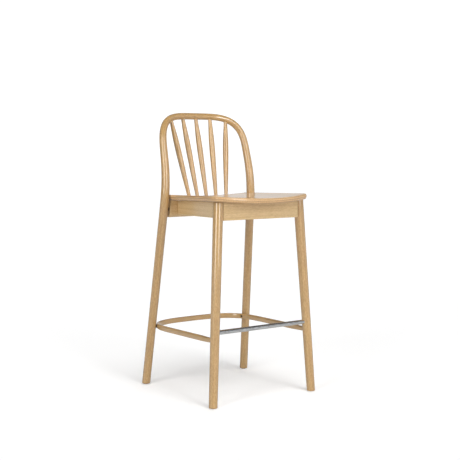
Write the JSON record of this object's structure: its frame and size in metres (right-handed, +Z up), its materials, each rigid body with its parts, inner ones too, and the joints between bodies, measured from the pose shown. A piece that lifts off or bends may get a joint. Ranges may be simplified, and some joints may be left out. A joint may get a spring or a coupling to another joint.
{
  "type": "bar stool",
  "caption": "Wooden bar stool with a bent hoop back, turned spindles, dished seat, bent stretcher ring and a round steel footrest bar.",
  "frame": {"origin": "on the floor, under the middle of the stool's box", "axes": "+Z up, the sitter faces -Y; X = 0 is the plane of symmetry, with +X to the right of somebody looking at the stool's front"},
  "size_m": [0.512, 0.5678, 1.0811],
  "materials": {
    "seat_wood": "light hardwood, clear gloss lacquer",
    "bent_wood": "bent light hardwood, clear satin lacquer",
    "turned_wood": "turned light hardwood, clear satin lacquer",
    "rail_wood": "light hardwood, clear satin lacquer",
    "block_wood": "plain sawn hardwood",
    "polished_steel": "polished steel",
    "zinc_fixing": "zinc plated",
    "spacer_nylon": "black nylon",
    "glide_nylon": "dark nylon"
  },
  "bodies": {
    "root": {"bent_hoop_frame": "bent_wood", "stretcher_ring": "bent_wood", "seat_panel": "seat_wood", "front_leg_left": "turned_wood", "front_leg_right": "turned_wood", "spindle_1": "turned_wood", "spindle_2": "turned_wood", "spindle_3": "turned_wood", "spindle_4": "turned_wood", "spindle_5": "turned_wood", "front_rail": "rail_wood", "rear_rail": "rail_wood", "side_rail_left": "rail_wood", "side_rail_right": "rail_wood", "front_corner_block_left": "block_wood", "front_corner_block_right": "block_wood", "rear_corner_block_left": "block_wood", "rear_corner_block_right": "block_wood", "footrest_bar": "polished_steel", "front_glide_left": "glide_nylon", "front_glide_right": "glide_nylon", "rear_glide_left": "glide_nylon", "rear_glide_right": "glide_nylon", "frame_spacer_left": "spacer_nylon", "frame_spacer_right": "spacer_nylon", "ring_spacer_left": "spacer_nylon", "ring_spacer_right": "spacer_nylon", "frame_stud_left": "zinc_fixing", "frame_stud_right": "zinc_fixing", "barrel_nut_left": "zinc_fixing", "barrel_nut_right": "zinc_fixing", "ring_screw_left": "zinc_fixing", "ring_screw_right": "zinc_fixing", "front_seat_screw_left": "zinc_fixing", "front_seat_screw_right": "zinc_fixing", "rear_seat_screw_left": "zinc_fixing", "rear_seat_screw_right": "zinc_fixing", "front_end_block_screw_left": "zinc_fixing", "front_end_block_screw_right": "zinc_fixing", "front_side_block_screw_left": "zinc_fixing", "front_side_block_screw_right": "zinc_fixing", "rear_end_block_screw_left": "zinc_fixing", "rear_end_block_screw_right": "zinc_fixing", "rear_side_block_screw_left": "zinc_fixing", "rear_side_block_screw_right": "zinc_fixing"}
  },
  "joints": []
}
